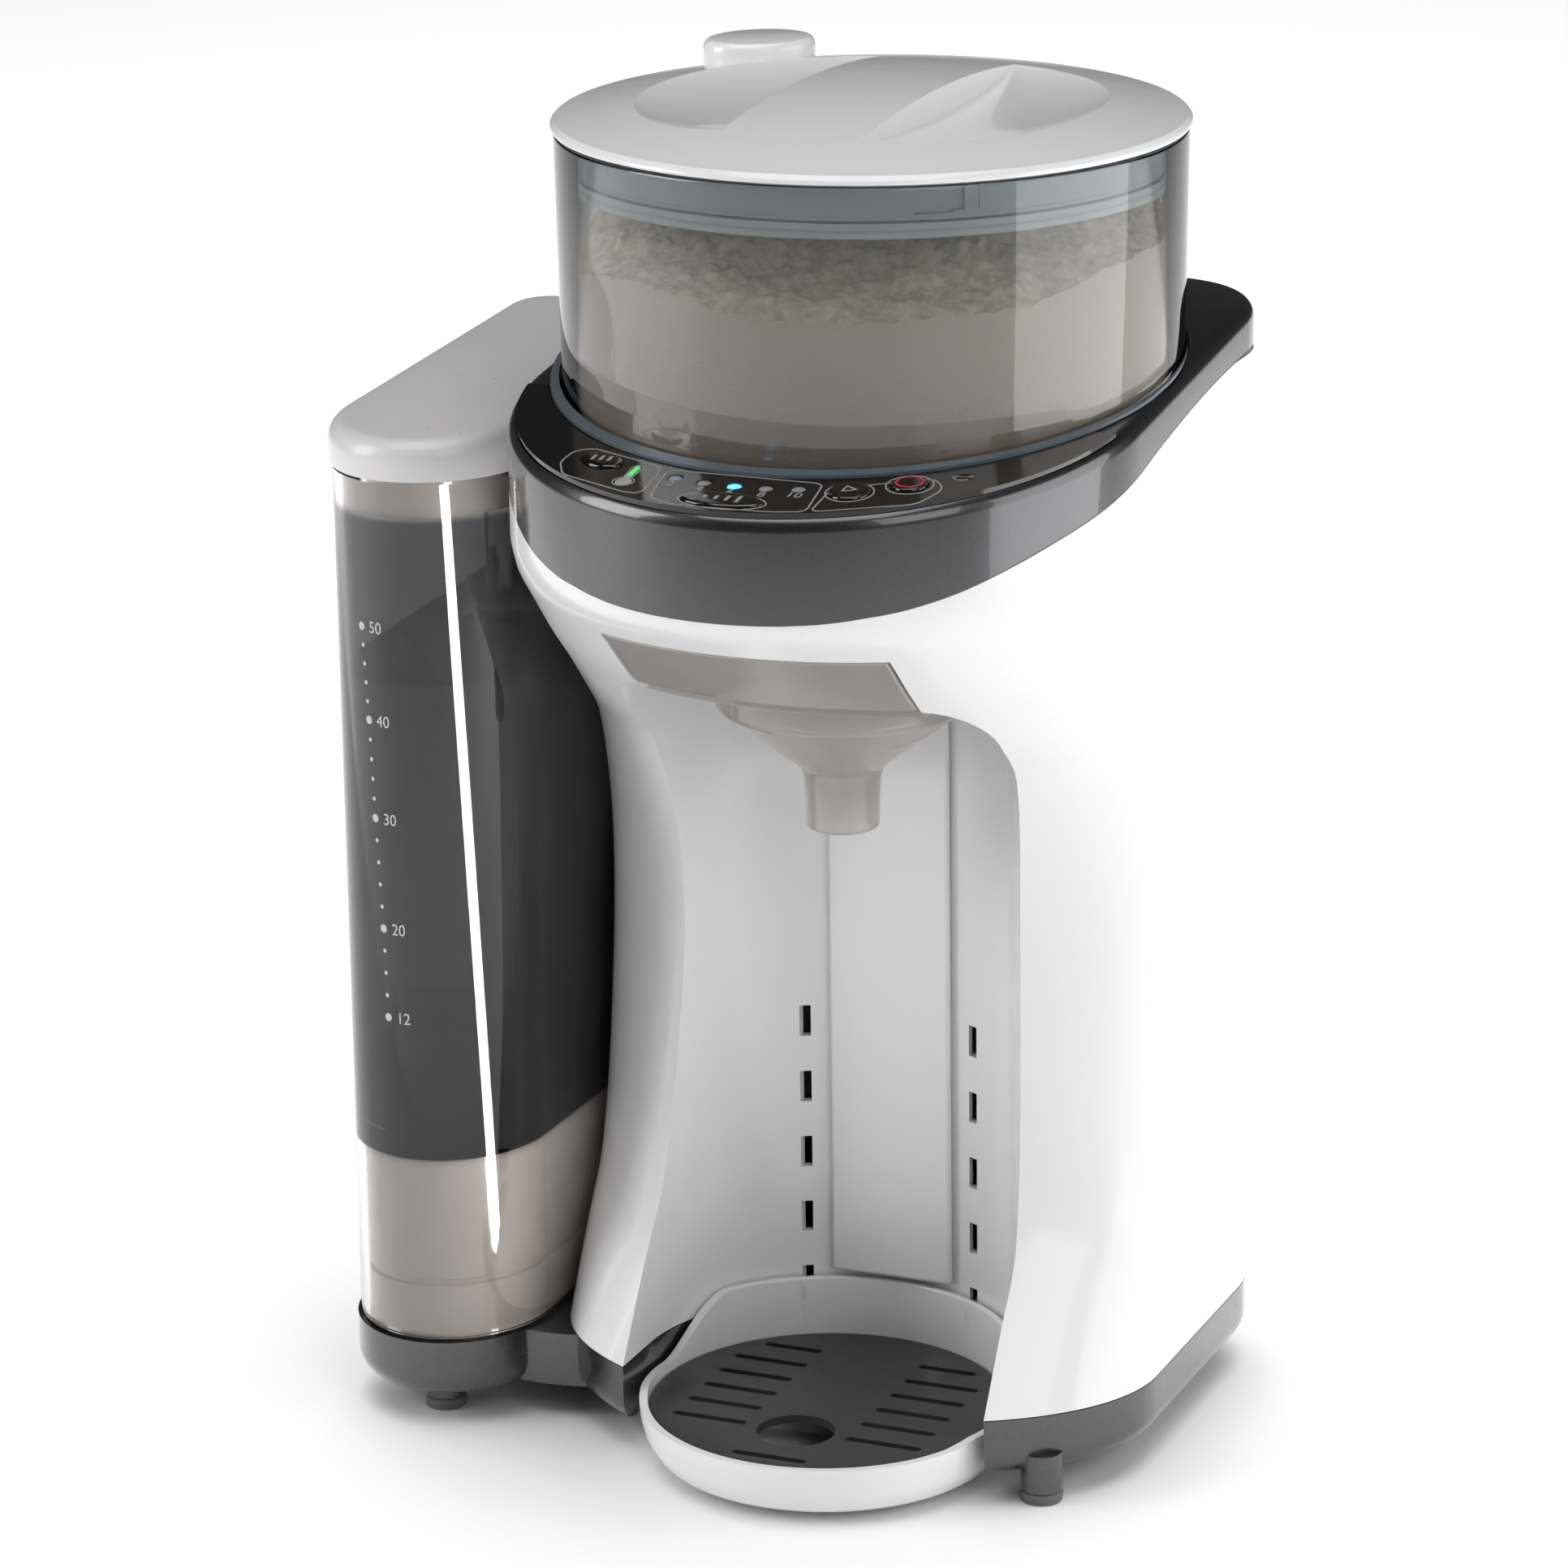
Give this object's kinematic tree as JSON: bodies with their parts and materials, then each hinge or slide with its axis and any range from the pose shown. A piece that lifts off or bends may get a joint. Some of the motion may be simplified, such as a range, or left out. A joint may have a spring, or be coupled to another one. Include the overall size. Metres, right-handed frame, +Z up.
{
  "type": "formula dispenser",
  "caption": "Countertop infant formula maker with lift-off powder container, side water tank, sloped button panel, funnel drawer and slotted bottle stand.",
  "frame": {"origin": "centre of the footprint at the table, under the feet", "axes": "+Z up, -Y towards the user (the front with the bottle bay), +X to the right seen from the front"},
  "size_m": [0.2258, 0.209, 0.368],
  "materials": {
    "white_abs": "gloss",
    "gunmetal": "metallic gloss",
    "black_gloss": "gloss",
    "blue_grey": "frosted",
    "clear": "clear",
    "smoke": "smoked clear",
    "taupe": "translucent",
    "charcoal": "satin",
    "rubber": "matte",
    "silicone": "satin",
    "steel": "brushed",
    "circuit": "satin",
    "lens": "satin",
    "lens_green": "satin"
  },
  "bodies": {
    "housing": {"front_housing": "white_abs", "rear_cover": "white_abs", "bay_spine": "white_abs", "top_shroud": "gunmetal", "control_panel": "black_gloss", "seat_ring": "blue_grey", "control_board": "circuit", "base": "gunmetal", "foot_1": "rubber", "foot_2": "rubber", "foot_3": "rubber", "foot_4": "rubber", "dose_led_2": "lens", "dose_led_4": "lens", "dose_led_6": "lens", "dose_led_8": "lens", "dose_led_10": "lens", "thermometer_lens": "lens_green", "funnel_lamp_lens": "lens", "powder_deck": "white_abs", "drive_motor": "charcoal", "powder_chute": "white_abs", "water_nozzle": "charcoal", "water_pump": "charcoal", "water_heater": "steel", "suction_hose": "silicone", "feed_hose": "silicone", "hot_hose": "silicone", "main_board": "circuit", "switch_bezel": "charcoal", "cord_gland": "rubber", "tank_socket": "charcoal", "socket_ring": "rubber"},
    "container": {"container_shell": "clear"},
    "doser": {"dosing_wheel": "white_abs", "stirrer": "white_abs"},
    "drive": {"drive_dog": "steel"},
    "seal": {"lid_seal": "silicone"},
    "lid": {"lid_cover": "white_abs", "lid_skirt": "blue_grey"},
    "tank": {"tank_shell": "smoke", "tank_foot": "taupe", "tank_collar": "taupe", "float_guide": "clear"},
    "tank_cover": {"tank_lid": "white_abs"},
    "valve": {"tank_valve": "silicone"},
    "level_float": {"tank_float": "white_abs"},
    "funnel": {"funnel_drawer": "taupe", "splash_bulb": "clear"},
    "stand": {"bottle_stand": "white_abs"},
    "grid": {"drip_grid": "charcoal"},
    "temp_key": {"temp_button": "black_gloss"},
    "ounce_key": {"ounce_button": "black_gloss"},
    "start_key": {"start_button": "black_gloss"},
    "stop_key": {"stop_button": "black_gloss"},
    "rocker": {"power_switch": "black_gloss"}
  },
  "joints": [
    {"name": "container_lift", "type": "slide", "parent": "housing", "child": "container", "axis": [0, 0, 1], "range_m": [0, 0.12]},
    {"name": "doser_turn", "type": "hinge", "parent": "container", "child": "doser", "pos_m": [0.0286, 0.00705, 0.27], "axis": [0, 0, 1], "continuous": true},
    {"name": "drive_turn", "type": "hinge", "parent": "housing", "child": "drive", "pos_m": [0.0286, 0.00705, 0.255], "axis": [0, 0, 1], "continuous": true},
    {"name": "lid_lift", "type": "slide", "parent": "container", "child": "seal", "axis": [0, 0, 1], "range_m": [0, 0.06]},
    {"name": "lid_turn", "type": "hinge", "parent": "seal", "child": "lid", "pos_m": [0.0286, 0.00705, 0.357], "axis": [0, 0, 1], "range_deg": [0, 25]},
    {"name": "tank_lift", "type": "slide", "parent": "housing", "child": "tank", "axis": [0, 0, 1], "range_m": [0, 0.26]},
    {"name": "tank_lid_lift", "type": "slide", "parent": "tank", "child": "tank_cover", "axis": [0, 0, 1], "range_m": [0, 0.06]},
    {"name": "valve_open", "type": "slide", "parent": "tank", "child": "valve", "axis": [0, 0, 1], "range_m": [0, 0.004], "stiffness_N_per_m": 150},
    {"name": "float_rise", "type": "slide", "parent": "tank", "child": "level_float", "axis": [0, 0, 1], "range_m": [0, 0.012]},
    {"name": "funnel_pull", "type": "slide", "parent": "housing", "child": "funnel", "axis": [0, -1, 0], "range_m": [0, 0.1]},
    {"name": "stand_pull", "type": "slide", "parent": "housing", "child": "stand", "axis": [0, -1, 0], "range_m": [0, 0.11]},
    {"name": "grid_lift", "type": "slide", "parent": "stand", "child": "grid", "axis": [0, 0, 1], "range_m": [0, 0.017]},
    {"name": "temp_press", "type": "slide", "parent": "housing", "child": "temp_key", "axis": [0, 0.1357, -0.9907], "range_m": [0, 0.0006], "stiffness_N_per_m": 900},
    {"name": "ounce_press", "type": "slide", "parent": "housing", "child": "ounce_key", "axis": [0, 0.1357, -0.9907], "range_m": [0, 0.0006], "stiffness_N_per_m": 900},
    {"name": "start_press", "type": "slide", "parent": "housing", "child": "start_key", "axis": [0, 0.1357, -0.9907], "range_m": [0, 0.0006], "stiffness_N_per_m": 900},
    {"name": "stop_press", "type": "slide", "parent": "housing", "child": "stop_key", "axis": [0, 0.1357, -0.9907], "range_m": [0, 0.0006], "stiffness_N_per_m": 900},
    {"name": "power_toggle", "type": "hinge", "parent": "housing", "child": "rocker", "pos_m": [-0.0014, 0.09405, 0.062], "axis": [1, 0, 0], "range_deg": [0, 12]}
  ],
  "couplings": [
    {"joint": "drive_turn", "follows": "doser_turn", "ratio": 1}
  ]
}
